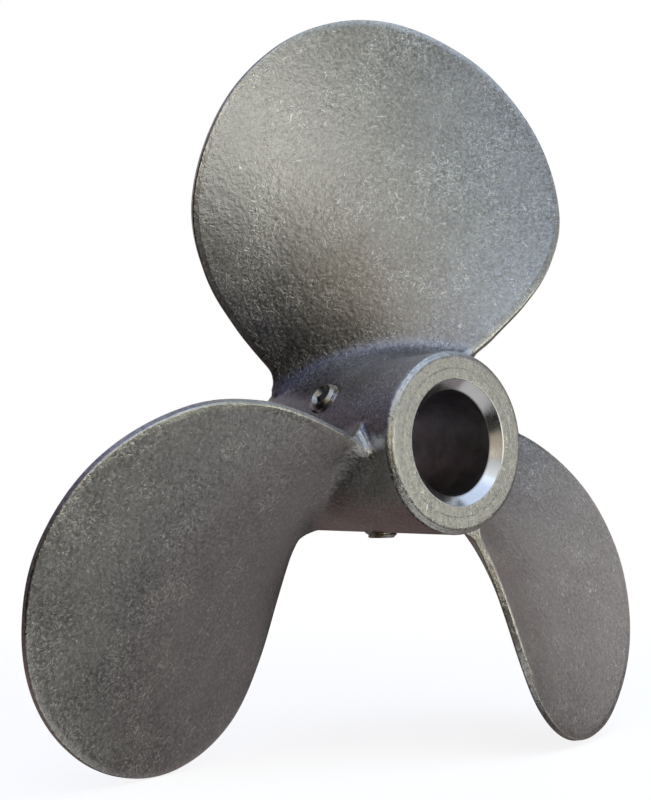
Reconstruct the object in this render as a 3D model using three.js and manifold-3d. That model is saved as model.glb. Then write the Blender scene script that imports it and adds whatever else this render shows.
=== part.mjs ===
// Three-bladed cast stainless propeller for a plain round shaft, with two
// hex-socket set screws that clamp the hub to the shaft.
// Millimetres. The shaft axis is Y, with the hub's front face towards -Y.
// Z runs up the centreline of the first blade, and the origin is on the shaft
// axis at the middle of the hub's length.

import * as THREE from 'three';
import { mergeVertices } from 'three/addons/utils/BufferGeometryUtils.js';
import Module from 'manifold-3d';

const wasm = await Module();
wasm.setup();

// ---- Hub -------------------------------------------------------------------
const HUB_LENGTH = 41;
const HUB_FRONT_RADIUS = 16.4; // the cast hub tapers a little towards its rear
const HUB_REAR_RADIUS = 15.8;
const HUB_FRONT_ROUND = 1.3; // corner radius around the front face
const HUB_REAR_ROUND = 1.8;
const BORE_RADIUS = 9.525; // plain bore for a 3/4 in shaft
const FRONT_CHAMFER = 1.8; // 45 degrees
const REAR_CHAMFER = 1.0;
const HUB_SEGMENTS = 60;
const ROUND_STEPS = 3;

// ---- Blades ----------------------------------------------------------------
const BLADE_COUNT = 3;
const BLADE_TURN = 360 / BLADE_COUNT;
const POLE_RADIUS = 49; // the outline is measured outwards from this point of the blade
const TIP_RADIUS = 82.5;
const ROOT_RADIUS = 13; // the root is buried in the hub wall down to here
// Outline: distance from the pole to the blade's edge, one value every 20
// degrees from -50 on. 0 degrees points to the leading edge, 90 to the tip,
// 180 to the trailing edge and 270 to the root.
const REACH_FIRST_ANGLE = -50;
const REACH_STEP = 20;
const REACH = [
  32.7, 31.6, 33.4, 36.6, 38.0, 36.4, // leading edge, root to shoulder
  34.1, TIP_RADIUS - POLE_RADIUS, 34.4, // tip
  36.8, 39.4, 39.9, 37.1, 35.5, 37.4, // trailing edge, shoulder to root
  44.0, 56.0, 38.2, // inside the hub
];
const PITCH_AT_HUB = 176; // travel in one turn, at three radii
const PITCH_AT_POLE = 183;
const PITCH_AT_TIP = 150;
const BLADE_FORWARD = 0.3; // of the hub's middle
const HALF_CHORD = 38;
const CAMBER = 0.75; // how far the edges curl forwards at half a chord
const EDGE_HALF = 0.75; // half the blade's thickness at its square-cut edge
const EDGE_BREAK = 0.3; // the edge's corners are worn off by this much
const MIDDLE_HALF_AT_HUB = 2.3;
const MIDDLE_HALF_AT_TIP = 1.0;
// Where a blade runs into the hub, it thickens on both faces. A power of 2
// makes a quarter ellipse, and a power of 1 a straight flare.
const ROOT_FILLET = 4.5; // along most of the root
const ROOT_FILLET_HEIGHT = 4.8;
const ROOT_FILLET_POWER = 2;
const END_FILLET = 3.0; // at the two ends of the root
const END_FILLET_HEIGHT = 3.8;
const END_FILLET_POWER = 1.3;
const FILLET_FADE = 7; // power that keeps the end shape close to the ends
const END_SPREAD = 0.13; // the two ends also spread along the hub, by this part of the chord
const END_SPREAD_HEIGHT = 4.5;
const ROOT_TRIM = 0.2; // the root's ends are trimmed this far inside the hub's end faces
const BLADE_SEGMENTS = 48; // around the outline
const INNER_RINGS = [0.2, 0.4, 0.6, 0.76, 0.9]; // as fractions of the way to the edge
const NORMAL_STEP = 0.05; // for slopes of the middle surface

// ---- Set screws, 1/4 in with 20 threads to the inch ---------------------------
const SCREW_ANGLES = { set_screw_upper: 148, set_screw_lower: 272 }; // between blades
const SCREW_ALONG_SHAFT = 0.8;
const SCREW_RADIUS = 3.175;
const SCREW_LENGTH = 6.35;
const SCREW_STANDS_PROUD = 1.0;
const THREAD_PITCH = 1.27;
const THREAD_DEPTH = 0.7;
const THREAD_ROWS = 4; // mesh rows in one pitch
const SCREW_SEGMENTS = 24;
const SCREW_END_CHAMFER = 0.85;
const SCREW_POINT_CHAMFER = 1.1;
const SOCKET_FLATS = 3.175; // 1/8 in key
const SOCKET_DEPTH = 3.2;
const SOCKET_CONE = 0.5;
const CUP_RADIUS = 1.5;
const CUP_DEPTH = 0.7;
const SCREW_HOLE_RADIUS = SCREW_RADIUS + 0.2;

// ---- Finishes ----------------------------------------------------------------
const castSteel = new THREE.MeshStandardMaterial({ color: 0x8b8880, roughness: 0.5, metalness: 0.9 });
const screwSteel = new THREE.MeshStandardMaterial({ color: 0x9a9a98, roughness: 0.3, metalness: 1.0 });

const MERGE_DISTANCE = 1e-4;
const radians = THREE.MathUtils.degToRad;

// A closed mesh from a start point, a stack of rings with the same number of
// points, and an end point. The rings run anticlockwise seen from the start.
function meshFromRings(start, rings, end) {
  const count = rings[0].length;
  const points = [start, ...rings.flat(), end];
  const last = points.length - 1;
  const faces = [];
  for (let i = 0; i < count; i += 1) {
    const next = (i + 1) % count;
    faces.push(0, 1 + i, 1 + next);
    for (let j = 0; j + 1 < rings.length; j += 1) {
      const a = 1 + j * count;
      const b = a + count;
      faces.push(a + i, b + i, b + next);
      faces.push(a + i, b + next, a + next);
    }
    faces.push(last, last - count + next, last - count + i);
  }
  const geometry = new THREE.BufferGeometry().setFromPoints(points);
  geometry.setIndex(faces);
  return geometry;
}

function toSolid(geometry) {
  geometry.deleteAttribute('normal');
  geometry.deleteAttribute('uv');
  const merged = mergeVertices(geometry, MERGE_DISTANCE);
  const vertProperties = new Float32Array(merged.attributes.position.array);
  const triVerts = new Uint32Array(merged.index.array);
  return new wasm.Manifold(new wasm.Mesh({ numProp: 3, vertProperties, triVerts }));
}

function toGeometry(solid) {
  const mesh = solid.getMesh();
  const geometry = new THREE.BufferGeometry();
  geometry.setAttribute('position', new THREE.BufferAttribute(mesh.vertProperties, 3));
  geometry.setIndex(new THREE.BufferAttribute(mesh.triVerts, 1));
  geometry.computeVertexNormals();
  return geometry;
}

// ---- The hub, with its bore --------------------------------------------------
function hubRadiusAt(y) {
  const along = THREE.MathUtils.clamp(y / HUB_LENGTH + 0.5, 0, 1);
  return THREE.MathUtils.lerp(HUB_FRONT_RADIUS, HUB_REAR_RADIUS, along);
}

// Points round an outer corner, from the end face to the side.
function cornerPoints(radius, faceY, round) {
  const points = [];
  const side = Math.sign(faceY);
  for (let i = 0; i <= ROUND_STEPS; i += 1) {
    const turn = radians((90 * i) / ROUND_STEPS);
    const out = radius - round * (1 - Math.sin(turn));
    points.push(new THREE.Vector2(out, faceY - side * round * (1 - Math.cos(turn))));
  }
  return points;
}

function hubGeometry() {
  const front = -HUB_LENGTH / 2;
  const rear = HUB_LENGTH / 2;
  const profile = [
    new THREE.Vector2(BORE_RADIUS, front + FRONT_CHAMFER),
    new THREE.Vector2(BORE_RADIUS + FRONT_CHAMFER, front),
    ...cornerPoints(HUB_FRONT_RADIUS, front, HUB_FRONT_ROUND),
    ...cornerPoints(HUB_REAR_RADIUS, rear, HUB_REAR_ROUND).reverse(),
    new THREE.Vector2(BORE_RADIUS + REAR_CHAMFER, rear),
    new THREE.Vector2(BORE_RADIUS, rear - REAR_CHAMFER),
    new THREE.Vector2(BORE_RADIUS, front + FRONT_CHAMFER),
  ];
  return new THREE.LatheGeometry(profile, HUB_SEGMENTS);
}

// ---- One blade ------------------------------------------------------------------
// A smooth closed curve through the outline's reach values.
function reachAt(degrees) {
  const place = THREE.MathUtils.euclideanModulo((degrees - REACH_FIRST_ANGLE) / REACH_STEP, REACH.length);
  const i = Math.floor(place);
  const t = place - i;
  const [a, b, c, d] = [-1, 0, 1, 2].map((k) => REACH[(i + k + REACH.length) % REACH.length]);
  return b + 0.5 * t * (c - a + t * (2 * a - 5 * b + 4 * c - d + t * (3 * (b - c) + d - a)));
}

// Pitch divided by a full turn, through the three given pitches.
function leadAt(radius) {
  const outer = TIP_RADIUS - POLE_RADIUS;
  const inner = POLE_RADIUS - HUB_FRONT_RADIUS;
  const u = radius - POLE_RADIUS;
  const rise = (PITCH_AT_TIP - PITCH_AT_POLE) / outer;
  const fall = (PITCH_AT_POLE - PITCH_AT_HUB) / inner;
  const bend = (rise - fall) / (outer + inner);
  const slope = fall + bend * inner;
  return (PITCH_AT_POLE + slope * u + bend * u * u) / (2 * Math.PI);
}

// A point of the first blade's middle surface, from its distance along the
// helical chord and its radius from the shaft axis.
function middlePoint(chord, radius) {
  const lead = leadAt(radius);
  const turn = -chord / Math.hypot(radius, lead);
  const forward = BLADE_FORWARD + CAMBER * (chord / HALF_CHORD) ** 2 - lead * turn;
  return new THREE.Vector3(-radius * Math.sin(turn), -forward, radius * Math.cos(turn));
}

// Unit vector square to the middle surface, towards the front.
function middleNormal(chord, radius) {
  const step = NORMAL_STEP;
  const along = middlePoint(chord + step, radius).sub(middlePoint(chord - step, radius));
  const outward = middlePoint(chord, radius + step).sub(middlePoint(chord, radius - step));
  return along.cross(outward).normalize();
}

// A curve that falls from 1 at the hub's surface to 0 at the given height above it.
function flareAt(above, height, power) {
  const fall = 1 - THREE.MathUtils.clamp(above / height, 0, 1);
  return 1 - (1 - fall ** power) ** (1 / power);
}

// Extra half thickness where the blade runs into the hub.
function filletAt(chord, radius, towardsEdge) {
  const fade = towardsEdge ** FILLET_FADE;
  const size = THREE.MathUtils.lerp(ROOT_FILLET, END_FILLET, fade);
  const height = THREE.MathUtils.lerp(ROOT_FILLET_HEIGHT, END_FILLET_HEIGHT, fade);
  const power = THREE.MathUtils.lerp(ROOT_FILLET_POWER, END_FILLET_POWER, fade);
  return size * flareAt(radius - hubRadiusAt(middlePoint(chord, radius).y), height, power);
}

// How much longer the chord is, where the root's ends spread along the hub.
function spreadAt(radius, towardsEdge) {
  const flare = flareAt(radius - HUB_FRONT_RADIUS, END_SPREAD_HEIGHT, ROOT_FILLET_POWER);
  return 1 + END_SPREAD * towardsEdge ** FILLET_FADE * flare;
}

function middleHalfAt(radius) {
  const along = (radius - HUB_FRONT_RADIUS) / (TIP_RADIUS - HUB_FRONT_RADIUS);
  return THREE.MathUtils.lerp(MIDDLE_HALF_AT_HUB, MIDDLE_HALF_AT_TIP, along);
}

// One ring of mesh stations round the blade, a fraction of the way from the
// pole to the edge: places on the middle surface, and the thickness there.
function bladeStations(fraction, inset = 0) {
  const stations = [];
  for (let i = 0; i < BLADE_SEGMENTS; i += 1) {
    const degrees = (360 * i) / BLADE_SEGMENTS;
    const spoke = new THREE.Vector2(Math.cos(radians(degrees)), Math.sin(radians(degrees)));
    const reach = reachAt(degrees);
    const buried = spoke.y < 0 ? (ROOT_RADIUS - POLE_RADIUS) / spoke.y : Infinity;
    const distance = fraction * (Math.min(reach, buried) - inset);
    const radius = POLE_RADIUS + distance * spoke.y;
    const chord = distance * spoke.x * spreadAt(radius, distance / reach);
    stations.push({ chord, radius, half: halfThickness(chord, radius, distance / reach) });
  }
  return stations;
}

// The blade is thickest along its middle and where it joins the hub.
function halfThickness(chord, radius, towardsEdge) {
  const crown = (middleHalfAt(radius) - EDGE_HALF) * (1 - towardsEdge ** 2);
  return EDGE_HALF + crown + filletAt(chord, radius, towardsEdge);
}

function offsetPoint(station, side) {
  const normal = middleNormal(station.chord, station.radius);
  const point = middlePoint(station.chord, station.radius).addScaledVector(normal, side * station.half);
  if (station.radius < HUB_FRONT_RADIUS + END_SPREAD_HEIGHT) {
    const limit = HUB_LENGTH / 2 - ROOT_TRIM;
    point.y = THREE.MathUtils.clamp(point.y, -limit, limit);
  }
  return point;
}

function bladeGeometry() {
  const rings = INNER_RINGS.map((fraction) => bladeStations(fraction));
  rings.push(bladeStations(1, EDGE_BREAK));
  const edge = bladeStations(1);
  edge.forEach((station) => {
    station.half -= EDGE_BREAK;
  });
  rings.push(edge);
  const pole = { chord: 0, radius: POLE_RADIUS, half: middleHalfAt(POLE_RADIUS) };
  const front = rings.map((ring) => ring.map((station) => offsetPoint(station, 1)));
  const rear = rings.map((ring) => ring.map((station) => offsetPoint(station, -1))).reverse();
  return meshFromRings(offsetPoint(pole, 1), [...front, ...rear], offsetPoint(pole, -1));
}

// ---- The casting: hub and blades in one piece ---------------------------------
// A round bar that reaches from inside the bore to clear of the hub.
function screwHoleGeometry(degrees) {
  const reach = HUB_FRONT_RADIUS + ROOT_FILLET;
  const geometry = new THREE.CylinderGeometry(SCREW_HOLE_RADIUS, SCREW_HOLE_RADIUS, reach, SCREW_SEGMENTS);
  geometry.rotateX(radians(90));
  geometry.translate(0, SCREW_ALONG_SHAFT, reach / 2);
  return geometry.rotateY(radians(90 - degrees));
}

function castingGeometry() {
  let solid = toSolid(hubGeometry());
  for (let i = 0; i < BLADE_COUNT; i += 1) {
    solid = solid.add(toSolid(bladeGeometry().rotateY(radians(-BLADE_TURN * i))));
  }
  Object.values(SCREW_ANGLES).forEach((degrees) => {
    solid = solid.subtract(toSolid(screwHoleGeometry(degrees)));
  });
  return toGeometry(solid);
}

// ---- A set screw: its point at the origin, its socket end up along Z ----------
function ringPoints(height, radiusAt) {
  const points = [];
  for (let i = 0; i < SCREW_SEGMENTS; i += 1) {
    const turn = (360 * i) / SCREW_SEGMENTS;
    const radius = radiusAt(turn);
    points.push(new THREE.Vector3(radius * Math.cos(radians(turn)), radius * Math.sin(radians(turn)), height));
  }
  return points;
}

function hexRadius(degrees) {
  const fromFlat = THREE.MathUtils.euclideanModulo(degrees + 30, 60) - 30;
  return SOCKET_FLATS / 2 / Math.cos(radians(fromFlat));
}

// Right-hand thread, run out by the chamfers at both ends.
function threadRadius(height, degrees) {
  const phase = THREE.MathUtils.euclideanModulo(height / THREAD_PITCH - degrees / 360, 1);
  const thread = SCREW_RADIUS - THREAD_DEPTH * (1 - Math.abs(2 * phase - 1));
  const socketEnd = SCREW_RADIUS - SCREW_END_CHAMFER + SCREW_LENGTH - height;
  const pointEnd = SCREW_RADIUS - SCREW_POINT_CHAMFER + height;
  return Math.min(thread, socketEnd, pointEnd);
}

function setScrewGeometry() {
  const socketFloor = SCREW_LENGTH - SOCKET_DEPTH;
  const rings = [
    ringPoints(socketFloor, hexRadius),
    ringPoints(SCREW_LENGTH, hexRadius),
    ringPoints(SCREW_LENGTH, () => SCREW_RADIUS - SCREW_END_CHAMFER),
  ];
  const rows = Math.round((SCREW_LENGTH / THREAD_PITCH) * THREAD_ROWS);
  for (let j = 1; j < rows; j += 1) {
    const height = SCREW_LENGTH * (1 - j / rows);
    rings.push(ringPoints(height, (degrees) => threadRadius(height, degrees)));
  }
  rings.push(ringPoints(0, () => SCREW_RADIUS - SCREW_POINT_CHAMFER));
  rings.push(ringPoints(0, () => CUP_RADIUS));
  const socketBottom = new THREE.Vector3(0, 0, socketFloor - SOCKET_CONE);
  return meshFromRings(socketBottom, rings, new THREE.Vector3(0, 0, CUP_DEPTH));
}

function setScrew(name, degrees) {
  const geometry = setScrewGeometry();
  geometry.computeVertexNormals();
  const screw = new THREE.Mesh(geometry, screwSteel);
  screw.name = name;
  screw.position.z = hubRadiusAt(SCREW_ALONG_SHAFT) + SCREW_STANDS_PROUD - SCREW_LENGTH;
  const holder = new THREE.Group();
  holder.add(screw);
  holder.position.y = SCREW_ALONG_SHAFT;
  holder.rotation.y = radians(90 - degrees);
  return holder;
}

// ---- The assembly ---------------------------------------------------------------
const propeller = new THREE.Group();
const casting = new THREE.Mesh(castingGeometry(), castSteel);
casting.name = 'propeller_casting';
propeller.add(casting);
Object.entries(SCREW_ANGLES).forEach(([name, degrees]) => propeller.add(setScrew(name, degrees)));

export default propeller;
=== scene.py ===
import math

import bmesh
import bpy
import numpy as np
from mathutils import Matrix, Vector
from mathutils.kdtree import KDTree


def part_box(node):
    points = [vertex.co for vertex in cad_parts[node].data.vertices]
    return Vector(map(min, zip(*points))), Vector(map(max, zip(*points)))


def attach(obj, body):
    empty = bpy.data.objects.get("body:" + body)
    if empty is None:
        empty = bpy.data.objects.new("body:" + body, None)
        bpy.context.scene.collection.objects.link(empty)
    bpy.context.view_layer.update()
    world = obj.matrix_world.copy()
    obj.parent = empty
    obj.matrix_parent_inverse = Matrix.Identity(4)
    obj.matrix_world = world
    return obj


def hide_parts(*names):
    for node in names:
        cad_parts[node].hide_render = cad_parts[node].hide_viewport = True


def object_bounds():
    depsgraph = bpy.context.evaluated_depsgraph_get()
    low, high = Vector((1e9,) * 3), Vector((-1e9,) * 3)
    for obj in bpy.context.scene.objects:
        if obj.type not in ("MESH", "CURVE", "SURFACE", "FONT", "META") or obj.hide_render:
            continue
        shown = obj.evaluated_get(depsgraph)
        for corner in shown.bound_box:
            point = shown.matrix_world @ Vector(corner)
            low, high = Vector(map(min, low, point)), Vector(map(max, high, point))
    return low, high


# Looks of the cast stainless propeller and its two set screws. Shapes are
# worked out in millimetres, with the driving dimensions of the CAD part, and
# become metres when a mesh is made.
MM = 0.001

# ---- Hub ----
HUB_LENGTH = 41.0
HUB_FRONT_RADIUS = 16.4
HUB_REAR_RADIUS = 15.8
HUB_FRONT_ROUND = 1.3
HUB_REAR_ROUND = 1.8
BORE_RADIUS = 9.525  # for a 3/4 in shaft
FRONT_CHAMFER = 1.8
REAR_CHAMFER = 1.0
CHAMFER_BREAK = 0.15  # the chamfer's outer corner is broken by this much
FACE_LINE_RADIUS = 13.3  # a tool line turned in the front face
FACE_LINE_HALF = 0.16  # half its width
FACE_LINE_DEPTH = 0.05
END_FACE_NORMAL = 0.99  # a face that looks along the shaft at least this squarely is an end face
HUB_SEGMENTS = 240
HUB_STEP = 0.6  # spacing of mesh rings along the hub
ROUND_STEPS = 8
CUTTER_OVERRUN = 5.0  # the bore's cutter stands this far out of the hub

# ---- Blades ----
BLADE_COUNT = 3
POLE_RADIUS = 49.0  # the outline is measured outwards from this point of the blade
TIP_RADIUS = 82.5
ROOT_RADIUS = 13.0  # the root is buried in the hub wall down to here
# Outline: distance from the pole to the blade's edge, one value every 20 degrees.
# 0 degrees points to the leading edge, 90 to the tip, 180 to the trailing edge
# and 270 to the root.
REACH_FIRST_ANGLE = -50.0
REACH_STEP = 20.0
REACH = [
    32.7, 31.6, 33.4, 36.6, 38.0, 36.4,  # leading edge, root to shoulder
    34.1, TIP_RADIUS - POLE_RADIUS, 34.4,  # tip
    36.8, 39.4, 39.9, 37.1, 35.5, 37.4,  # trailing edge, shoulder to root
    44.0, 56.0, 38.2,  # inside the hub
]
PITCH_AT_HUB = 176.0  # travel in one turn, at three radii
PITCH_AT_POLE = 183.0
PITCH_AT_TIP = 150.0
BLADE_FORWARD = 0.3  # of the hub's middle
HALF_CHORD = 38.0
CAMBER = 0.75  # how far the edges curl forwards at half a chord
EDGE_HALF = 0.75  # half the blade's thickness at its edge
EDGE_BREAK = 0.3  # radius worn on the corners of the edge
MIDDLE_HALF_AT_HUB = 2.3  # and along its middle
MIDDLE_HALF_AT_TIP = 1.0
# Where a blade runs into the hub, it thickens on both faces. A power of 2 makes
# a quarter ellipse, and a power of 1 a straight flare.
ROOT_FILLET = 4.5  # along most of the root
ROOT_FILLET_HEIGHT = 4.8
ROOT_FILLET_POWER = 2.0
END_FILLET = 3.0  # at the two ends of the root
END_FILLET_HEIGHT = 3.8
END_FILLET_POWER = 1.3
FILLET_FADE = 7  # power that keeps the end shape close to the ends
END_SPREAD = 0.13  # the two ends also spread along the hub, by this part of the chord
END_SPREAD_HEIGHT = 4.5
ROOT_TRIM = 0.2  # the root's ends are trimmed this far inside the hub's end faces
FILLET_SINK = 0.12  # the fillets dip this far under the hub's skin, so that they cut it cleanly
NORMAL_STEP = 0.05  # for slopes of the middle surface
TINY = 1e-6
BLADE_SEGMENTS = 320
BLADE_RINGS = 36
EDGE_STEPS = 4
BLEND_WIDTH = 1.1  # the cast corner between blade and hub is softened over this distance
BLEND_PASSES = 14
BLEND_SHARE = 0.5  # of the way to the neighbours' mean, in each pass
CORNER_ANGLE = math.radians(8)  # sharper inner corners than this are softened
EDGE_WEAR_AND_HIGHLIGHT_WIDTH = 1.2  # how far the wear and its painted highlight reach from the blades' corners
RIM_WEAR_AND_HIGHLIGHT_WIDTH = 1.1  # and from the hub's front rim
FACE_WEAR_AND_HIGHLIGHT = 0.2  # of the hub's front face, as wear and painted highlight
CASTING_SHARP = 32  # degrees between faces from which an edge is shaded sharp
SCREW_SHARP = 28

# ---- Set screws ----
SCREW_ANGLES = {"set_screw_upper": 148.0, "set_screw_lower": 272.0}
SCREW_BODIES = {"set_screw_upper": "upper_screw", "set_screw_lower": "lower_screw"}
SCREW_ALONG_SHAFT = 0.8
SCREW_RADIUS = 3.15  # of a 1/4 in screw, less a little play
SCREW_LENGTH = 6.35
SCREW_STANDS_PROUD = 1.0
THREAD_PITCH = 1.27
THREAD_DEPTH = 0.7
THREAD_ROWS = 16  # mesh rings in one pitch
THREAD_FLAT = 0.14  # part of a pitch that is flat at the crest
SCREW_SEGMENTS = 96
SCREW_END_CHAMFER = 0.85
SCREW_POINT_CHAMFER = 1.1
SOCKET_FLATS = 3.175  # 1/8 in key
SOCKET_MOUTH = 2.15  # radius of the countersink at the socket's mouth
SOCKET_MOUTH_SLOPE = 1.7  # the countersink's depth for each unit of its width
SOCKET_DEPTH = 3.2
SOCKET_CONE = 0.5  # drill point at the bottom of the socket
CUP_RADIUS = 1.5
CUP_DEPTH = 0.7
HOLE_RADIUS = 3.3
HOLE_MOUTH = 0.35  # countersink of the tapped hole
HOLE_STARTS = BORE_RADIUS / 2  # the hole's cutter starts at this radius, inside the bore

# ---- Finishes ----
# Colours are linear. A noise is given as its waves in a millimetre, its detail and its
# roughness, and a bump as its height in millimetres and its strength.
NOISE_MIDDLE = (0.35, 0.65)  # the middle part of a noise's values
NOISE_WIDE = (0.3, 0.7)  # nearly all of them
CAST_GRAIN = (1.5, 3.0, 0.7)
CAST_DIMPLES = (0.62, 2.0, 0.6)
CAST_CLOUDS = (0.085, 3.0, 0.55)
CAST_HOLLOWS = ((0.38, 0.37, 0.36), (0.48, 0.47, 0.45))  # the two ends of the clouds
CAST_TOPS = (0.67, 0.66, 0.63)
GRAIN_RANGE = (0.36, 0.66)  # from the grain's hollows to its tops
CAST_ROUGHNESS = (0.33, 0.41)
GRAIN_ROUGHNESS = (-0.05, 0.05)  # added to it
GRAIN_BUMP = (0.10, 0.8)
DIMPLE_BUMP = (0.14, 0.8)
NICK_TURNS = ((0, 5, 25), (0, 40, -25), (0, 75, 20), (0, 112, -20), (0, 148, 25))  # degrees
NICK_EDGE = (0.70, 0.77)  # a nick is where its noise is above these
NICK_PATCHES = (0.11, 2.0, 0.6)
NICK_PATCH_RANGE = (0.36, 0.64)
NICK_AMOUNT = (-0.03, 0.06)  # between patches with few nicks and patches with many
# Nicks are painted near white: a real mark, and a painted glint as well.
NICK_PAINTED_GLINT_COLOUR = (0.95, 0.94, 0.89)
NICK_BUMP = (0.05, 0.6)
FINE_NICK = (1.2, 0.36)  # length and width
FINE_NICK_SHARE = 0.7  # of a coarse one's strength
COARSE_NICK = (2.2, 0.6)
COARSE_NICK_RARER = 0.03
WEAR_AND_HIGHLIGHT_PATCHES = (1.1, 3.0, 0.7)
WEAR_AND_HIGHLIGHT_PATCH_RANGE = (0.40, 0.58)
WEAR_AND_HIGHLIGHT_SHARE = (0.25, 1.0)  # between patches
# The light cream wear colour is also a painted highlight on the blades' corners and the hub's front rim
# and face.
WEAR_AND_HIGHLIGHT_COLOUR = (0.91, 0.89, 0.81)
WEAR_POLISH = 0.10  # taken off the roughness
WEAR_BUMP = (0.2, 1.0)
TURNING_LINES = (7.0, 2.0, 0.6)
TURNING_BUMP = (0.02, 0.25)
BORE_SMUDGES = (0.35, 3.0, 0.6)
# The bore's darker colours are painted shade inside the bore.
BORE_PAINTED_SHADE_COLOURS = ((0.34, 0.33, 0.33), (0.50, 0.49, 0.49))
BORE_ROUGHNESS = 0.32
CHAMFER_STARTS = (0.05, 0.25)  # out of the bore's wall
# The chamfers' near-white colours are a painted highlight.
CHAMFER_PAINTED_HIGHLIGHT_COLOURS = ((0.88, 0.87, 0.85), (0.97, 0.96, 0.95))
CHAMFER_ROUGHNESS = 0.22
SMUDGE_ROUGHNESS = (-0.04, 0.05)  # added to both
SCREW_SMUDGES = (0.9, 3.0, 0.6)
SCREW_COLOURS = ((0.56, 0.56, 0.56), (0.70, 0.70, 0.69))
SCREW_ROUGHNESS = (0.26, 0.42)
SCREW_BUMP = (0.03, 0.2)
STAIN_PATCHES = (0.5, 2.0, 0.6)
STAIN_EDGE = (0.5, 0.68)
STAIN_COLOUR = (0.42, 0.33, 0.18)

# ---- Camera, lights and stage ----
CAMERA_AZIMUTH = -39.07
CAMERA_ELEVATION = -5.28
CAMERA_ROLL = 0.452
CAMERA_DISTANCE = 0.25868
CAMERA_LEFT = 0.00930  # the camera stands this far left of the point it faces, and above it
CAMERA_UP = 0.00903
CAMERA_FACES = (0.0, 0.0023, 0.0)
CAMERA_LENS = 61.15
CAMERA_SENSOR = 36
LIGHT_DISTANCE = 0.8  # from the origin, in metres
# Soft panels round the object: azimuth, elevation, width and height in degrees, and radiance.
LIGHTS = {
    "key": (-10, 0, 30, 30, (1.50, 1.50, 1.42)),
    "key_upper": (-10, 32, 36, 30, (0.26, 0.28, 0.25)),
    "front": (28, -4, 34, 34, (0.99, 1.02, 0.90)),
    "front_upper": (28, 30, 36, 36, (0.17, 0.17, 0.16)),
    "top": (20, 64, 60, 40, (0.60, 0.72, 0.94)),
    "left": (-48, 5, 34, 34, (0.37, 0.32, 0.25)),
    "left_spot": (-50, 16, 10, 10, (1.30, 1.24, 1.10)),
    "left_upper": (-55, 42, 50, 36, (0.53, 0.56, 0.60)),
    "right": (70, 14, 44, 40, (0.44, 0.42, 0.44)),
    "right_rear": (115, 15, 44, 40, (0.17, 0.14, 0.13)),
    "right_low": (95, -34, 50, 44, (0.19, 0.17, 0.18)),
    "under": (0, -66, 70, 40, (0.44, 0.44, 0.45)),
    "rear_left": (-165, 18, 50, 50, (0.15, 0.13, 0.15)),
    "rear_right": (165, 12, 40, 50, (0.24, 0.23, 0.23)),
    "rear_low": (180, -36, 80, 44, (0.15, 0.11, 0.11)),
    "rear_top": (178, 62, 60, 36, (0.26, 0.28, 0.36)),
    "far_left": (-100, 52, 60, 44, (0.04, 0.05, 0.17)),
}
FLOOR_RADIUS = 4.0  # metres
FLOOR_GAP = 0.0002
FLOOR_SIDES = 128
FLOOR_FADE = (120, 420)  # millimetres from the floor's middle
FLOOR_COLOUR = (0.6, 0.6, 0.6)
FLOOR_ROUGHNESS = 0.9
FLOOR_GLOW = (0.80, 1.0)  # in the middle and far off
WHITE = (1, 1, 1, 1)


# ---- Mesh helpers ----
def new_object(name, points, faces):
    """A mesh object from points in millimetres."""
    mesh = bpy.data.meshes.new(name)
    mesh.from_pydata((np.asarray(points) * MM).tolist(), [], faces)
    mesh.validate()
    obj = bpy.data.objects.new(name, mesh)
    bpy.context.scene.collection.objects.link(obj)
    return obj


def closed_rings(name, start, rings, end):
    """A closed mesh from a start point, rings of points, and an end point."""
    count = len(rings[0])
    points = np.vstack([[start], *rings, [end]])
    last = len(points) - 1
    here = np.arange(count)
    after = (here + 1) % count
    faces = []
    for i, j in zip(here, after):
        faces.append((0, 1 + i, 1 + j))
        faces.append((last, last - count + j, last - count + i))
    for k in range(len(rings) - 1):
        a = 1 + k * count
        b = a + count
        faces.extend(zip(a + here, b + here, b + after, a + after))
    return new_object(name, points, [tuple(int(v) for v in face) for face in faces])


def lathe(name, profile, segments):
    """A closed solid turned about Y, from (radius, y) pairs whose two ends are on the axis."""
    turn = np.linspace(0, 2 * math.pi, segments, endpoint=False)
    rings = []
    for radius, y in profile[1:-1]:
        rings.append(np.column_stack([radius * np.cos(turn), np.full(segments, y), radius * np.sin(turn)]))
    start = (0, profile[0][1], 0)
    end = (0, profile[-1][1], 0)
    return closed_rings(name, start, rings, end)


def apply_boolean(obj, other, operation):
    """Joins or cuts obj with other, which is used up."""
    modifier = obj.modifiers.new("boolean", "BOOLEAN")
    modifier.operation = operation
    modifier.solver = "MANIFOLD"
    modifier.object = other
    evaluated = obj.evaluated_get(bpy.context.evaluated_depsgraph_get())
    mesh = bpy.data.meshes.new_from_object(evaluated)
    obj.modifiers.clear()
    old = obj.data
    obj.data = mesh
    bpy.data.meshes.remove(old)
    bpy.data.meshes.remove(other.data)


def read_points(mesh):
    points = np.zeros(len(mesh.vertices) * 3)
    mesh.vertices.foreach_get("co", points)
    return points.reshape(-1, 3) / MM


def write_points(mesh, points):
    mesh.vertices.foreach_set("co", (points * MM).ravel())
    mesh.update()


def off_axis(points):
    """Each point's distance from the shaft's axis."""
    return np.hypot(points[:, 0], points[:, 2])


def search_tree(points):
    """Finds the nearest of the points to any place."""
    tree = KDTree(len(points))
    for index, point in enumerate(points):
        tree.insert(point, index)
    tree.balance()
    return tree


def smooth_shading(obj, sharp_degrees):
    obj.data.shade_smooth()
    obj.data.set_sharp_from_angle(angle=math.radians(sharp_degrees))
    weighted = obj.modifiers.new("normals", "WEIGHTED_NORMAL")
    weighted.keep_sharp = True


# ---- The hub ----
def hub_radius_at(y):
    along = np.clip(y / HUB_LENGTH + 0.5, 0, 1)
    return HUB_FRONT_RADIUS + (HUB_REAR_RADIUS - HUB_FRONT_RADIUS) * along


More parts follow.
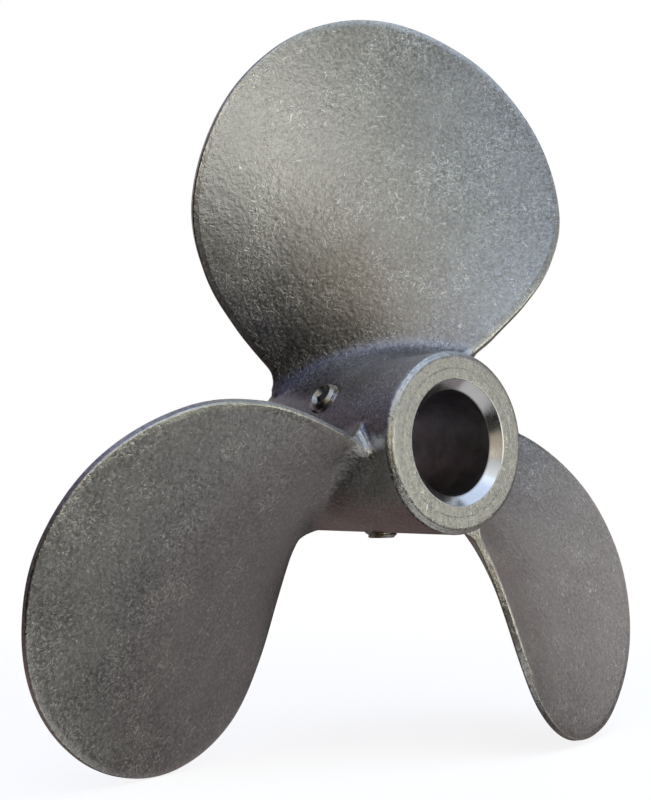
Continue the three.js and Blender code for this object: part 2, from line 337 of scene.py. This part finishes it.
def corner(radius, face_y, size):
    """(radius, y) pairs round an outer corner, from the end face to the side."""
    side = math.copysign(1, face_y)
    turns = np.linspace(0, math.pi / 2, ROUND_STEPS + 1)
    return [(radius - size * (1 - math.sin(t)), face_y - side * size * (1 - math.cos(t))) for t in turns]


def solid_hub():
    front = -HUB_LENGTH / 2
    rear = HUB_LENGTH / 2
    line = FACE_LINE_RADIUS
    face = [(0, front), (BORE_RADIUS, front), (line - FACE_LINE_HALF, front)]
    face += [(line, front + FACE_LINE_DEPTH), (line + FACE_LINE_HALF, front)]
    first = front + HUB_FRONT_ROUND
    last = rear - HUB_REAR_ROUND
    side = np.linspace(first, last, round((last - first) / HUB_STEP))[1:-1]
    profile = face + corner(HUB_FRONT_RADIUS, front, HUB_FRONT_ROUND)
    profile += [(hub_radius_at(y), y) for y in side]
    profile += corner(HUB_REAR_RADIUS, rear, HUB_REAR_ROUND)[::-1]
    profile += [(BORE_RADIUS, rear), (0, rear)]
    return lathe("propeller", profile, HUB_SEGMENTS)


# ---- One blade ----
def reach_at(degrees):
    """Distance from the pole to the blade's edge: a smooth closed curve through REACH."""
    values = np.array(REACH)
    place = ((degrees - REACH_FIRST_ANGLE) / REACH_STEP) % len(values)
    i = np.floor(place).astype(int)
    t = place - i
    a, b, c, d = (values[(i + k) % len(values)] for k in (-1, 0, 1, 2))
    return b + 0.5 * t * (c - a + t * (2 * a - 5 * b + 4 * c - d + t * (3 * (b - c) + d - a)))


def lead_at(radius):
    """Pitch divided by a full turn, through the three given pitches."""
    outer = TIP_RADIUS - POLE_RADIUS
    inner = POLE_RADIUS - HUB_FRONT_RADIUS
    u = radius - POLE_RADIUS
    rise = (PITCH_AT_TIP - PITCH_AT_POLE) / outer
    fall = (PITCH_AT_POLE - PITCH_AT_HUB) / inner
    bend = (rise - fall) / (outer + inner)
    slope = fall + bend * inner
    return (PITCH_AT_POLE + slope * u + bend * u * u) / (2 * math.pi)


def middle_point(chord, radius):
    """Points of the first blade's middle surface."""
    lead = lead_at(radius)
    turn = -chord / np.hypot(radius, lead)
    forward = BLADE_FORWARD + CAMBER * (chord / HALF_CHORD) ** 2 - lead * turn
    return np.column_stack([-radius * np.sin(turn), -forward, radius * np.cos(turn)])


def middle_normal(chord, radius):
    """Unit vectors square to the middle surface, towards the front."""
    step = NORMAL_STEP
    along = middle_point(chord + step, radius) - middle_point(chord - step, radius)
    outward = middle_point(chord, radius + step) - middle_point(chord, radius - step)
    normal = np.cross(along, outward)
    return normal / np.linalg.norm(normal, axis=1)[:, None]


def flare_at(above, height, power):
    """A curve that falls from 1 at the hub's surface to 0 at the given height above it."""
    fall = 1 - np.clip(above / height, 0, 1)
    return 1 - (1 - fall ** power) ** (1 / power)


def spread_at(radius, towards_edge):
    """How much longer the chord is, where the root's ends spread along the hub."""
    flare = flare_at(radius - HUB_FRONT_RADIUS, END_SPREAD_HEIGHT, ROOT_FILLET_POWER)
    return 1 + END_SPREAD * towards_edge ** FILLET_FADE * flare


def middle_half_at(radius):
    along = (radius - HUB_FRONT_RADIUS) / (TIP_RADIUS - HUB_FRONT_RADIUS)
    return MIDDLE_HALF_AT_HUB + (MIDDLE_HALF_AT_TIP - MIDDLE_HALF_AT_HUB) * along


def fillet_at(chord, radius, towards_edge):
    """Extra half thickness where the blade runs into the hub."""
    fade = towards_edge ** FILLET_FADE
    size = ROOT_FILLET + (END_FILLET - ROOT_FILLET) * fade
    height = ROOT_FILLET_HEIGHT + (END_FILLET_HEIGHT - ROOT_FILLET_HEIGHT) * fade
    power = ROOT_FILLET_POWER + (END_FILLET_POWER - ROOT_FILLET_POWER) * fade
    skin = hub_radius_at(middle_point(chord, radius)[:, 1]) - FILLET_SINK
    return size * flare_at(radius - skin, height, power)


def half_thickness(chord, radius, towards_edge):
    """The blade is thickest along its middle and where it joins the hub."""
    crown = (middle_half_at(radius) - EDGE_HALF) * (1 - towards_edge ** 2)
    return EDGE_HALF + crown + fillet_at(chord, radius, towards_edge)


def blade_ring(fraction, side, inset=0.0, drop=0.0):
    """A ring of points round the blade, on its front (side 1) or rear (side -1)."""
    degrees = np.linspace(0, 360, BLADE_SEGMENTS, endpoint=False)
    across = np.cos(np.radians(degrees))
    out = np.sin(np.radians(degrees))
    reach = reach_at(degrees)
    buried = np.where(out < 0, (ROOT_RADIUS - POLE_RADIUS) / np.minimum(out, -TINY), np.inf)
    distance = fraction * (np.minimum(reach, buried) - inset)
    radius = POLE_RADIUS + distance * out
    chord = distance * across * spread_at(radius, distance / reach)
    half = half_thickness(chord, radius, distance / reach) - drop
    points = middle_point(chord, radius) + side * half[:, None] * middle_normal(chord, radius)
    limit = HUB_LENGTH / 2 - ROOT_TRIM
    at_root = radius < HUB_FRONT_RADIUS + END_SPREAD_HEIGHT
    points[:, 1] = np.where(at_root, np.clip(points[:, 1], -limit, limit), points[:, 1])
    return points


def corner_ring(turn, side):
    """A ring on the worn corner of a blade's edge, which turns from its face to its edge."""
    inset = EDGE_BREAK * (1 - math.sin(turn))
    drop = EDGE_BREAK * (1 - math.cos(turn))
    return blade_ring(1, side, inset, drop)


def blade_face(side):
    """The rings of one face, from the pole to the end of its worn corner."""
    rings = [blade_ring(k / BLADE_RINGS, side, inset=EDGE_BREAK) for k in range(1, BLADE_RINGS)]
    for turn in np.linspace(0, math.pi / 2, EDGE_STEPS + 1):
        rings.append(corner_ring(turn, side))
    return rings


def blade_turn(index, size):
    """A matrix that turns the first blade to a blade's place."""
    return Matrix.Rotation(math.radians(-360 / BLADE_COUNT * index), size, "Y")


def blade(index):
    pole = np.array([0.0]), np.array([POLE_RADIUS])
    half = half_thickness(*pole, np.array([0.0]))[0]
    lift = half * middle_normal(*pole)[0]
    start = middle_point(*pole)[0] + lift
    end = middle_point(*pole)[0] - lift
    obj = closed_rings("blade", start, blade_face(1) + blade_face(-1)[::-1], end)
    obj.data.transform(blade_turn(index, 4))
    return obj


# ---- The casting ----
def concave_corner_points(mesh):
    """Where a blade runs into the hub's side at a sharp inner corner."""
    shape = bmesh.new()
    shape.from_mesh(mesh)
    found = set()
    for edge in shape.edges:
        if len(edge.link_faces) == 2 and edge.calc_face_angle_signed() < -CORNER_ANGLE:
            found.update(vertex.index for vertex in edge.verts)
    shape.free()
    points = read_points(mesh)[sorted(found)]
    on_side = np.abs(points[:, 1]) < HUB_LENGTH / 2 - HUB_FRONT_ROUND / 2
    near_skin = np.abs(off_axis(points) - hub_radius_at(points[:, 1])) < 2 * FILLET_SINK
    return points[on_side & near_skin]


def neighbour_means(edges, points):
    """The mean of each point's neighbours."""
    total = np.zeros_like(points)
    count = np.zeros(len(points))
    for a, b in ((0, 1), (1, 0)):
        np.add.at(total, edges[:, a], points[edges[:, b]])
        np.add.at(count, edges[:, a], 1)
    return total / np.maximum(count, 1)[:, None]


def soften_roots(mesh):
    """Softens the inner corner between blades and hub, as in a casting."""
    corners = search_tree(concave_corner_points(mesh))
    points = read_points(mesh)
    close = np.abs(off_axis(points) - hub_radius_at(points[:, 1])) < BLEND_WIDTH
    weight = np.zeros(len(points))
    for index in np.nonzero(close)[0]:
        weight[index] = max(0.0, 1 - corners.find(points[index])[2] / BLEND_WIDTH)
    edges = np.zeros(len(mesh.edges) * 2, int)
    mesh.edges.foreach_get("vertices", edges)
    edges = edges.reshape(-1, 2)
    for _ in range(BLEND_PASSES):
        points += BLEND_SHARE * weight[:, None] * (neighbour_means(edges, points) - points)
    write_points(mesh, points)


def bore_cutter():
    front = -HUB_LENGTH / 2
    rear = HUB_LENGTH / 2
    over = CUTTER_OVERRUN
    mouth = BORE_RADIUS + FRONT_CHAMFER
    step = CHAMFER_BREAK
    profile = [(0, front - over), (mouth + over * 2, front - over), (mouth + step, front)]
    profile += [(mouth - step / 2, front + step / 2), (BORE_RADIUS, front + FRONT_CHAMFER)]
    profile += [(BORE_RADIUS, rear - REAR_CHAMFER), (BORE_RADIUS + REAR_CHAMFER + over, rear + over)]
    profile += [(0, rear + over)]
    return lathe("bore", profile, HUB_SEGMENTS)


def turned_to_screw(obj, degrees, along):
    """Moves a shape made along Z so that Z points out of the hub at a screw's place."""
    place = Matrix.Translation(Vector((0, SCREW_ALONG_SHAFT, 0)) * MM)
    spin = Matrix.Rotation(math.radians(90 - degrees), 4, "Y")
    obj.data.transform(place @ spin @ Matrix.Translation(Vector((0, 0, along)) * MM))
    return obj


def screw_hole(degrees):
    skin = float(hub_radius_at(SCREW_ALONG_SHAFT))
    outer = skin + ROOT_FILLET
    wide = HOLE_RADIUS + HOLE_MOUTH
    profile = [(0, -HOLE_STARTS), (HOLE_RADIUS, -HOLE_STARTS), (HOLE_RADIUS, HOLE_MOUTH - skin)]
    profile += [(wide, -skin), (wide, -outer), (0, -outer)]
    cutter = lathe("hole", profile[::-1], SCREW_SEGMENTS)
    cutter.data.transform(Matrix.Rotation(math.radians(-90), 4, "X"))
    return turned_to_screw(cutter, degrees, 0.0)


def inside_cad_box(mesh, node):
    """Keeps the finer surface inside the CAD part's box."""
    low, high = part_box(node)
    write_points(mesh, np.clip(read_points(mesh), np.array(low) / MM, np.array(high) / MM))


def machined_faces(mesh):
    """Marks the bore and its chamfers with the second material."""
    for face in mesh.polygons:
        x, _, z = face.center / MM
        within = math.hypot(x, z) < BORE_RADIUS + FRONT_CHAMFER + CHAMFER_BREAK
        end_face = abs(face.normal.y) > END_FACE_NORMAL
        face.material_index = 1 if within and not end_face else 0


def mark_wear_and_highlight(mesh):
    """Stores how rubbed each point is, which also sets a painted highlight: the blades' corners, and the
    hub's front rim and face.
    """
    turn = math.pi / 4
    lines = np.vstack([corner_ring(turn, side) for side in (1, -1)])
    blades = [lines @ np.array(blade_turn(index, 3)).T for index in range(BLADE_COUNT)]
    corners = search_tree(np.vstack(blades))
    points = read_points(mesh)
    wear_and_highlight = np.array([1 - corners.find(point)[2] / EDGE_WEAR_AND_HIGHLIGHT_WIDTH for point in points])
    rim_radius = HUB_FRONT_RADIUS - HUB_FRONT_ROUND * (1 - math.sin(turn))
    rim_y = HUB_FRONT_ROUND * (1 - math.cos(turn)) - HUB_LENGTH / 2
    from_rim = np.hypot(off_axis(points) - rim_radius, points[:, 1] - rim_y)
    wear_and_highlight = np.maximum(wear_and_highlight, 1 - from_rim / RIM_WEAR_AND_HIGHLIGHT_WIDTH)
    on_face = points[:, 1] < 2 * FACE_LINE_DEPTH - HUB_LENGTH / 2
    wear_and_highlight = np.maximum(wear_and_highlight, np.where(on_face, FACE_WEAR_AND_HIGHLIGHT, 0))
    layer = mesh.attributes.new("wear_and_highlight", "FLOAT", "POINT")
    layer.data.foreach_set("value", np.clip(wear_and_highlight, 0, 1))


def casting():
    obj = solid_hub()
    for index in range(BLADE_COUNT):
        apply_boolean(obj, blade(index), "UNION")
    soften_roots(obj.data)
    apply_boolean(obj, bore_cutter(), "DIFFERENCE")
    for degrees in SCREW_ANGLES.values():
        apply_boolean(obj, screw_hole(degrees), "DIFFERENCE")
    inside_cad_box(obj.data, "propeller_casting")
    mark_wear_and_highlight(obj.data)
    smooth_shading(obj, CASTING_SHARP)
    obj.data.materials.clear()
    obj.data.materials.append(tumbled_cast_steel())
    obj.data.materials.append(turned_steel())
    machined_faces(obj.data)
    obj.name = "propeller"
    return obj


# ---- A set screw: its point at the origin, its socket end up along Z ----
def hex_radius(degrees):
    from_flat = (degrees + 30) % 60 - 30
    return SOCKET_FLATS / 2 / np.cos(np.radians(from_flat))


def thread_radius(height, degrees):
    """Right-hand thread with flat crests and roots, run out by the chamfers at both ends."""
    phase = (height / THREAD_PITCH - degrees / 360) % 1
    depth = np.clip((1 - np.abs(2 * phase - 1) - THREAD_FLAT) / (1 - 2 * THREAD_FLAT), 0, 1)
    thread = SCREW_RADIUS - THREAD_DEPTH * depth
    socket_end = SCREW_RADIUS - SCREW_END_CHAMFER + SCREW_LENGTH - height
    point_end = SCREW_RADIUS - SCREW_POINT_CHAMFER + height
    return np.minimum(np.minimum(thread, socket_end), point_end)


def screw_ring(degrees, radius, height):
    """Points round Z. The radius and the height can be one number or one for each angle."""
    turn = np.radians(degrees)
    return np.column_stack(np.broadcast_arrays(radius * np.cos(turn), radius * np.sin(turn), height))


def screw_rings(degrees):
    """From the socket's floor up to its mouth, then down the thread to the cup's rim."""
    socket = hex_radius(degrees)
    countersink = SCREW_LENGTH - SOCKET_MOUTH_SLOPE * (SOCKET_MOUTH - socket)
    rings = [
        screw_ring(degrees, socket, SCREW_LENGTH - SOCKET_DEPTH),
        screw_ring(degrees, socket, countersink),
        screw_ring(degrees, SOCKET_MOUTH, SCREW_LENGTH),
        screw_ring(degrees, SCREW_RADIUS - SCREW_END_CHAMFER, SCREW_LENGTH),
    ]
    rows = round(SCREW_LENGTH / THREAD_PITCH * THREAD_ROWS)
    for row in range(1, rows):
        height = SCREW_LENGTH * (1 - row / rows)
        rings.append(screw_ring(degrees, thread_radius(height, degrees), height))
    rings.append(screw_ring(degrees, SCREW_RADIUS - SCREW_POINT_CHAMFER, 0))
    rings.append(screw_ring(degrees, CUP_RADIUS, 0))
    return rings


def set_screw(name):
    rings = screw_rings(np.linspace(0, 360, SCREW_SEGMENTS, endpoint=False))
    drill_point = SCREW_LENGTH - SOCKET_DEPTH - SOCKET_CONE
    obj = closed_rings(name + "_detailed", (0, 0, drill_point), rings, (0, 0, CUP_DEPTH))
    along = hub_radius_at(SCREW_ALONG_SHAFT) + SCREW_STANDS_PROUD - SCREW_LENGTH
    turned_to_screw(obj, SCREW_ANGLES[name], along)
    smooth_shading(obj, SCREW_SHARP)
    return obj


# ---- Materials ----
class Nodes:
    """Short calls for building a material's node tree, in millimetres."""

    def __init__(self, name, metallic=1.0):
        self.material = bpy.data.materials.new(name)
        self.material.use_nodes = True
        self.tree = self.material.node_tree
        self.shader = self.tree.nodes["Principled BSDF"]
        self.shader.inputs["Metallic"].default_value = metallic
        place = self.tree.nodes.new("ShaderNodeTexCoord").outputs["Object"]
        self.place = self.vector("MULTIPLY", place, (1 / MM, 1 / MM, 1 / MM))

    def add(self, kind, inputs, **settings):
        made = self.tree.nodes.new(kind)
        for key, value in settings.items():
            setattr(made, key, value)
        for key, value in inputs.items():
            if isinstance(value, bpy.types.NodeSocket):
                self.tree.links.new(value, made.inputs[key])
            else:
                made.inputs[key].default_value = value
        return made

    def vector(self, operation, a, b=(0, 0, 0), output="Vector"):
        return self.add("ShaderNodeVectorMath", {0: a, 1: b}, operation=operation).outputs[output]

    def maths(self, operation, a, b=0.0):
        return self.add("ShaderNodeMath", {0: a, 1: b}, operation=operation).outputs[0]

    def noise(self, scale, detail=2.0, roughness=0.5, place=None):
        inputs = {"Vector": place or self.place, "Scale": scale, "Detail": detail, "Roughness": roughness}
        return self.add("ShaderNodeTexNoise", inputs).outputs["Fac"]

    def stretched(self, turn, size):
        """The place turned by Euler angles in degrees, then scaled along each axis."""
        turned = self.add("ShaderNodeMapping", {"Vector": self.place})
        turned.inputs["Rotation"].default_value = [math.radians(angle) for angle in turn]
        return self.vector("MULTIPLY", turned.outputs[0], size)

    def spread(self, value, low, high, to_low=0.0, to_high=1.0):
        inputs = {"Value": value, "From Min": low, "From Max": high, "To Min": to_low, "To Max": to_high}
        return self.add("ShaderNodeMapRange", inputs).outputs["Result"]

    def mix(self, factor, a, b):
        made = self.add("ShaderNodeMix", {0: factor}, data_type="RGBA")
        for socket, colour in ((made.inputs[6], a), (made.inputs[7], b)):
            if isinstance(colour, bpy.types.NodeSocket):
                self.tree.links.new(colour, socket)
            else:
                socket.default_value = (*colour, 1)
        return made.outputs[2]

    def bump(self, height, distance, strength, normal=None):
        inputs = {"Height": height, "Distance": distance * MM, "Strength": strength}
        if normal is not None:
            inputs["Normal"] = normal
        return self.add("ShaderNodeBump", inputs).outputs[0]

    def connect(self, **sockets):
        for key, socket in sockets.items():
            self.tree.links.new(socket, self.shader.inputs[key.replace("_", " ")])


def nick_and_glint_marks(nodes, length, width, amount):
    """Short nick marks that lie in all directions, from tumbling, whose pale colour is also a painted
    glint: 1 on a nick, 0 elsewhere.
    A larger amount makes more of them."""
    total = None
    for turn in NICK_TURNS:
        place = nodes.stretched(turn, (1 / length, 1 / width, 1 / width))
        height = nodes.maths("ADD", nodes.noise(1.0, 1.0, place=place), amount)
        nick = nodes.spread(height, *NICK_EDGE)
        total = nick if total is None else nodes.maths("MAXIMUM", total, nick)
    return total


def fine_and_coarse_nick_glints(nodes):
    amount = nodes.spread(nodes.noise(*NICK_PATCHES), *NICK_PATCH_RANGE, *NICK_AMOUNT)
    fine = nick_and_glint_marks(nodes, *FINE_NICK, amount)
    coarse = nick_and_glint_marks(nodes, *COARSE_NICK, nodes.maths("SUBTRACT", amount, COARSE_NICK_RARER))
    return nodes.maths("MAXIMUM", nodes.maths("MULTIPLY", fine, FINE_NICK_SHARE), coarse)


def tumbled_cast_steel():
    """The casting's skin: grain, dimples and clouds, nicked all over, each nick painted near white as a
    glint, and rubbed at the corners, where the pale colour is partly wear and partly a painted highlight."""
    nodes = Nodes("tumbled_cast_steel")
    grain = nodes.noise(*CAST_GRAIN)
    dimples = nodes.noise(*CAST_DIMPLES)
    clouds = nodes.noise(*CAST_CLOUDS)
    nick_glint_mask = fine_and_coarse_nick_glints(nodes)
    # The stored wear also marks where a painted highlight brightens the colour.
    corners = nodes.add("ShaderNodeAttribute", {}, attribute_name="wear_and_highlight").outputs["Fac"]
    wear_and_sheen = nodes.spread(nodes.noise(*WEAR_AND_HIGHLIGHT_PATCHES), *WEAR_AND_HIGHLIGHT_PATCH_RANGE, *WEAR_AND_HIGHLIGHT_SHARE)
    wear_and_sheen = nodes.maths("MULTIPLY", corners, wear_and_sheen)

    hollows = nodes.mix(nodes.spread(clouds, *NOISE_MIDDLE), *CAST_HOLLOWS)
    colour = nodes.mix(nodes.spread(grain, *GRAIN_RANGE), hollows, CAST_TOPS)
    # Nicks painted near white as glints.
    colour = nodes.mix(nick_glint_mask, colour, NICK_PAINTED_GLINT_COLOUR)
    # Wear and painted highlight on the corners, the front rim and the front face.
    colour = nodes.mix(wear_and_sheen, colour, WEAR_AND_HIGHLIGHT_COLOUR)

    rough = nodes.spread(clouds, *NOISE_WIDE, *CAST_ROUGHNESS)
    rough = nodes.maths("ADD", rough, nodes.spread(grain, *NOISE_WIDE, *GRAIN_ROUGHNESS))
    rough = nodes.maths("SUBTRACT", rough, nodes.maths("MULTIPLY", wear_and_sheen, WEAR_POLISH))

    normal = nodes.bump(nodes.maths("SUBTRACT", 1.0, corners), *WEAR_BUMP)
    normal = nodes.bump(dimples, *DIMPLE_BUMP, normal)
    normal = nodes.bump(grain, *GRAIN_BUMP, normal)
    normal = nodes.bump(nick_glint_mask, *NICK_BUMP, normal)
    nodes.connect(Base_Color=colour, Roughness=rough, Normal=normal)
    return nodes.material


def turned_steel():
    """The bore and its chamfers, with fine turning lines round the shaft axis. The
    chamfers' near-white colour is a painted highlight, and the bore's darker colour is painted shade."""
    nodes = Nodes("turned_steel")
    along = nodes.add("ShaderNodeSeparateXYZ", {"Vector": nodes.place}).outputs["Y"]
    flat = nodes.vector("MULTIPLY", nodes.place, (1, 0, 1))
    around = nodes.vector("LENGTH", flat, output="Value")
    chamfer = nodes.spread(around, *(BORE_RADIUS + start for start in CHAMFER_STARTS))
    lines_place = nodes.add("ShaderNodeCombineXYZ", {"X": along, "Y": around}).outputs[0]
    lines = nodes.noise(*TURNING_LINES, place=lines_place)
    smudge = nodes.noise(*BORE_SMUDGES)
    # Painted shade in the bore, and a painted highlight on the chamfers.
    bore_painted_shade = nodes.mix(nodes.spread(smudge, *NOISE_MIDDLE), *BORE_PAINTED_SHADE_COLOURS)
    chamfer_painted_highlight = nodes.mix(nodes.spread(smudge, *NOISE_MIDDLE), *CHAMFER_PAINTED_HIGHLIGHT_COLOURS)
    colour = nodes.mix(chamfer, bore_painted_shade, chamfer_painted_highlight)
    rough = nodes.spread(chamfer, 0, 1, BORE_ROUGHNESS, CHAMFER_ROUGHNESS)
    rough = nodes.maths("ADD", rough, nodes.spread(smudge, *NOISE_WIDE, *SMUDGE_ROUGHNESS))
    nodes.connect(Base_Color=colour, Roughness=rough, Normal=nodes.bump(lines, *TURNING_BUMP))
    return nodes.material


def screw_steel():
    """Smoother steel with brown stains."""
    nodes = Nodes("screw_steel")
    smudge = nodes.noise(*SCREW_SMUDGES)
    stain = nodes.spread(nodes.noise(*STAIN_PATCHES), *STAIN_EDGE)
    clean = nodes.mix(nodes.spread(smudge, *NOISE_MIDDLE), *SCREW_COLOURS)
    colour = nodes.mix(stain, clean, STAIN_COLOUR)
    rough = nodes.spread(smudge, *NOISE_WIDE, *SCREW_ROUGHNESS)
    nodes.connect(Base_Color=colour, Roughness=rough, Normal=nodes.bump(smudge, *SCREW_BUMP))
    return nodes.material


# ---- Stage, lights and camera ----
def direction(azimuth, elevation):
    """Unit vector towards a place round the object: azimuth 0 is in front, 90 to the right."""
    a = math.radians(azimuth)
    e = math.radians(elevation)
    return Vector((math.sin(a) * math.cos(e), -math.cos(a) * math.cos(e), math.sin(e)))


def facing(place, target):
    turn = (place - target).to_track_quat("Z", "Y").to_matrix().to_4x4()
    return Matrix.Translation(place) @ turn


def add_lights():
    for name, (azimuth, elevation, wide, high, radiance) in LIGHTS.items():
        data = bpy.data.lights.new("light_" + name, "AREA")
        data.shape = "RECTANGLE"
        data.size = 2 * LIGHT_DISTANCE * math.tan(math.radians(wide / 2))
        data.size_y = 2 * LIGHT_DISTANCE * math.tan(math.radians(high / 2))
        data.energy = max(radiance) * math.pi * data.size * data.size_y
        data.color = [value / max(radiance) for value in radiance]
        light = bpy.data.objects.new("light_" + name, data)
        bpy.context.scene.collection.objects.link(light)
        light.matrix_world = facing(LIGHT_DISTANCE * direction(azimuth, elevation), Vector((0, 0, 0)))
        light.visible_camera = False


def add_floor(height):
    """A pale floor that fades into the white surroundings. It takes the object's
    shadow, but stays out of its reflections."""
    bpy.ops.mesh.primitive_circle_add(vertices=FLOOR_SIDES, radius=FLOOR_RADIUS, fill_type="NGON")
    floor = bpy.context.object
    floor.name = "floor"
    floor.location.z = height
    nodes = Nodes("pale_floor", metallic=0.0)
    far = nodes.spread(nodes.vector("LENGTH", nodes.place, output="Value"), *FLOOR_FADE)
    nodes.shader.inputs["Roughness"].default_value = FLOOR_ROUGHNESS
    nodes.shader.inputs["Emission Color"].default_value = WHITE
    glow = nodes.spread(far, 0, 1, *FLOOR_GLOW)
    nodes.connect(Base_Color=nodes.mix(far, FLOOR_COLOUR, (0, 0, 0)), Emission_Strength=glow)
    floor.data.materials.append(nodes.material)
    floor.visible_glossy = False
    floor.visible_diffuse = False
    floor.visible_shadow = False


def add_surroundings():
    world = bpy.data.worlds.new("white")
    bpy.context.scene.world = world
    world.use_nodes = True
    world.node_tree.nodes["Background"].inputs["Color"].default_value = WHITE
    world.cycles_visibility.glossy = False
    world.cycles_visibility.diffuse = False
    bpy.context.scene.view_settings.view_transform = "Standard"


def add_camera():
    data = bpy.data.cameras.new("camera")
    data.lens = CAMERA_LENS
    data.sensor_width = CAMERA_SENSOR
    camera = bpy.data.objects.new("camera", data)
    bpy.context.scene.collection.objects.link(camera)
    back = direction(CAMERA_AZIMUTH, CAMERA_ELEVATION)
    level_right = Vector((0, 0, 1)).cross(back).normalized()
    level_up = back.cross(level_right)
    roll = math.radians(CAMERA_ROLL)
    right = math.cos(roll) * level_right + math.sin(roll) * level_up
    up = back.cross(right)
    place = Vector(CAMERA_FACES) + CAMERA_DISTANCE * back - CAMERA_LEFT * right + CAMERA_UP * up
    camera.matrix_world = Matrix.Translation(place) @ Matrix((right, up, back)).transposed().to_4x4()
    bpy.context.scene.camera = camera


# ---- The scene ----
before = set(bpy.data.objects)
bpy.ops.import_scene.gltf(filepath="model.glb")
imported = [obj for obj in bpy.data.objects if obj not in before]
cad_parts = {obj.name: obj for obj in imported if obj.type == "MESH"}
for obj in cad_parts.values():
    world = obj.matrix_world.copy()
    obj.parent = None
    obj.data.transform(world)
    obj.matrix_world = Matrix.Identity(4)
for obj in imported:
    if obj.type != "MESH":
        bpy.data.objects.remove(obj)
cad_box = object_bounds()

propeller = casting()
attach(propeller, "propeller")
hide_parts("propeller_casting")

screw_finish = screw_steel()
for screw_name, screw_body in SCREW_BODIES.items():
    screw = set_screw(screw_name)
    screw.data.materials.append(screw_finish)
    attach(screw, screw_body)
    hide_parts(screw_name)

add_floor(cad_box[0][2] - FLOOR_GAP)
add_surroundings()
add_lights()
add_camera()
